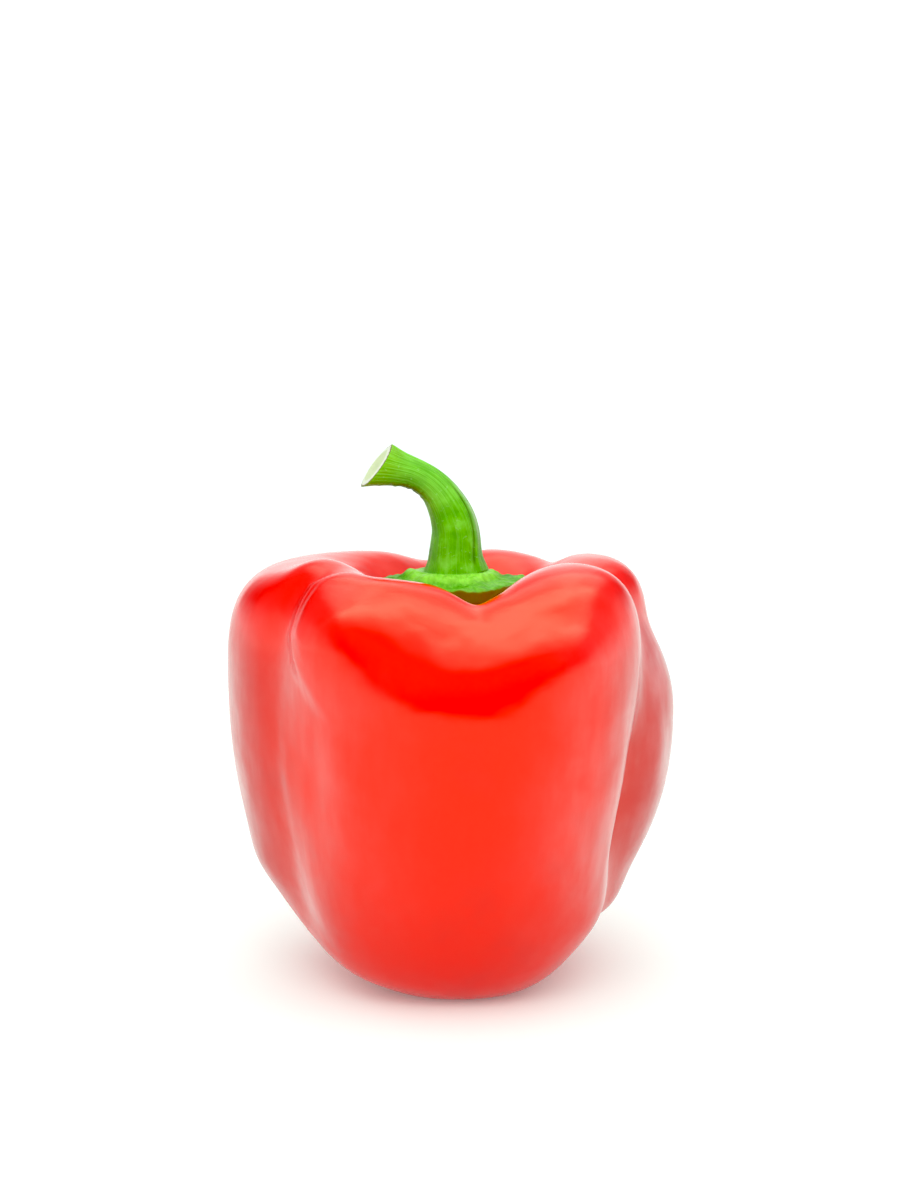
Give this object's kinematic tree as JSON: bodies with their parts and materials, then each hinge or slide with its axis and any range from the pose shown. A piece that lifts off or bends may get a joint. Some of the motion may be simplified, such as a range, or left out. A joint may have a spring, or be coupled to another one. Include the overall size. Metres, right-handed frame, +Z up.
{
  "type": "bell pepper",
  "caption": "Whole red bell pepper standing on its lobes, with deep grooves, a sunken crown and a green calyx with a short bent stem.",
  "frame": {"origin": "middle of the object's own box in X and Y, at the surface that the lobes stand on", "axes": "+Z up along the fruit from the blossom end to the stem, -Y towards the broad front lobe"},
  "size_m": [0.0888, 0.0854, 0.1057],
  "materials": {
    "red_skin": "smooth waxy ripe red skin with a clear soft gloss, slightly deeper in the grooves",
    "green_stem": "satin fresh green plant skin with fine lengthwise ribs and a pale cut end"
  },
  "bodies": {
    "root": {"fruit_body": "red_skin", "stem_and_calyx": "green_stem"}
  },
  "joints": []
}
